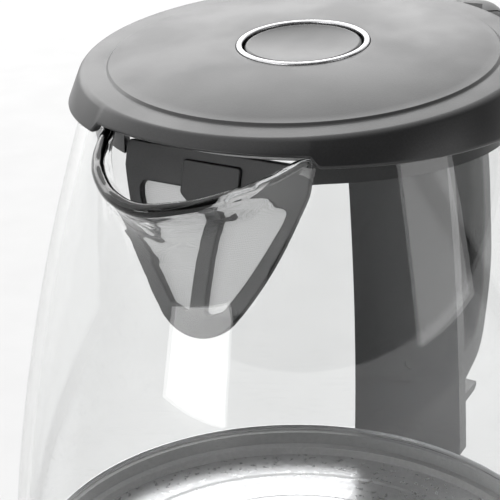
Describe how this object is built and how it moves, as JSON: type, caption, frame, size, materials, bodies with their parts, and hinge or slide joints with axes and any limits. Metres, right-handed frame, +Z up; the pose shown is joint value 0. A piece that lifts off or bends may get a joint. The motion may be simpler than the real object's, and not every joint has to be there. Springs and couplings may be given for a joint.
{
  "type": "electric kettle",
  "caption": "Glass electric kettle with a pouring beak, tilted hinged lid with a push button, spout filter, looped handle with switch lever, and a round power base.",
  "frame": {"origin": "on the kettle's axis, at the surface that the base's feet stand on", "axes": "+Z up along the kettle's axis, spout towards -X, handle towards +X"},
  "size_m": [0.2097, 0.1652, 0.2118],
  "materials": {
    "lid_plastic": "satin dark grey moulded plastic",
    "black_plastic": "fine-textured black plastic",
    "inner_plastic": "plain moulded plastic",
    "chrome_trim": "polished",
    "body_glass": "clear borosilicate",
    "filter_plastic": "satin dark grey plastic",
    "fine_mesh": "fine woven nylon mesh",
    "brushed_steel": "brushed",
    "plate_steel": "fine circular brushing",
    "aluminium_disc": "cast",
    "element_sheath": "drawn tube",
    "copper_brass": "bright",
    "spring_steel": "wire",
    "screw_steel": "zinc plated",
    "silicone_seal": "translucent silicone",
    "rubber_feet": "matt rubber",
    "lens_plastic": "clear amber-free lens",
    "lead_jacket": "silicone insulated leads"
  },
  "bodies": {
    "base": {"base_bottom_cover": "black_plastic", "base_top_shell": "black_plastic", "base_screws": "screw_steel", "base_feet": "rubber_feet", "base_connector": "inner_plastic", "base_contacts": "copper_brass", "cord_gland": "rubber_feet", "base_leads": "lead_jacket"},
    "socket": {"kettle_socket": "inner_plastic", "socket_contacts": "copper_brass"},
    "jug": {"bottom_cover": "black_plastic", "bottom_housing": "black_plastic", "bottom_screws": "screw_steel", "steel_band": "brushed_steel", "heating_plate": "plate_steel", "glass_seal": "silicone_seal", "heat_spreader": "aluminium_disc", "heating_element": "element_sheath", "element_terminals": "copper_brass", "control_unit": "inner_plastic", "control_screws": "screw_steel", "bimetal_discs": "copper_brass", "glass_body": "body_glass", "mouth_collar": "black_plastic", "handle_strip": "black_plastic", "handle_inner_shell": "black_plastic", "handle_outer_shell": "lid_plastic", "handle_screws": "screw_steel", "steam_tube": "inner_plastic", "steam_switch": "inner_plastic", "steam_disc": "copper_brass", "indicator_lens": "lens_plastic", "lever_pin": "screw_steel", "hinge_bracket": "black_plastic", "hinge_pin": "screw_steel", "hinge_spring_left": "spring_steel", "hinge_spring_right": "spring_steel"},
    "lid": {"lid_cover": "lid_plastic", "lid_plug": "black_plastic", "lid_screws": "screw_steel", "lid_seal": "silicone_seal", "button_ring": "chrome_trim", "button_spring": "spring_steel", "latch_spring_right": "spring_steel", "latch_spring_left": "spring_steel"},
    "button": {"lid_button": "lid_plastic"},
    "latch_right": {"latch_bolt_right": "inner_plastic"},
    "latch_left": {"latch_bolt_left": "inner_plastic"},
    "filter": {"filter_frame": "filter_plastic", "filter_mesh": "fine_mesh"},
    "lever": {"switch_lever": "lid_plastic"}
  },
  "joints": [
    {"name": "lift_off", "type": "slide", "parent": "base", "child": "socket", "axis": [0, 0, 1], "range_m": [0, 0.06]},
    {"name": "swivel", "type": "hinge", "parent": "socket", "child": "jug", "pos_m": [0, 0, 0.0184], "axis": [0, 0, 1], "continuous": true},
    {"name": "lid_hinge", "type": "hinge", "parent": "jug", "child": "lid", "pos_m": [0.064, 0, 0.203], "axis": [0, 1, 0], "range_deg": [0, 80]},
    {"name": "button_press", "type": "slide", "parent": "lid", "child": "button", "axis": [0.1056, 0, -0.9944], "range_m": [0, 0.003], "stiffness_N_per_m": 400, "springref_m": -0.002, "deforming": ["button_spring"]},
    {"name": "latch_right_slide", "type": "slide", "parent": "lid", "child": "latch_right", "axis": [0, 1, 0], "range_m": [0, 0.002], "deforming": ["latch_spring_right"]},
    {"name": "latch_left_slide", "type": "slide", "parent": "lid", "child": "latch_left", "axis": [0, -1, 0], "range_m": [0, 0.002], "deforming": ["latch_spring_left"]},
    {"name": "filter_unclip", "type": "slide", "parent": "jug", "child": "filter", "axis": [0.972, 0, -0.2351], "range_m": [0, 0.02]},
    {"name": "switch_rock", "type": "hinge", "parent": "jug", "child": "lever", "pos_m": [0.092, 0, 0.085], "axis": [0, 1, 0], "range_deg": [0, 12]}
  ],
  "couplings": [
    {"joint": "latch_right_slide", "follows": "button_press", "ratio": 0.6667},
    {"joint": "latch_left_slide", "follows": "button_press", "ratio": 0.6667}
  ]
}
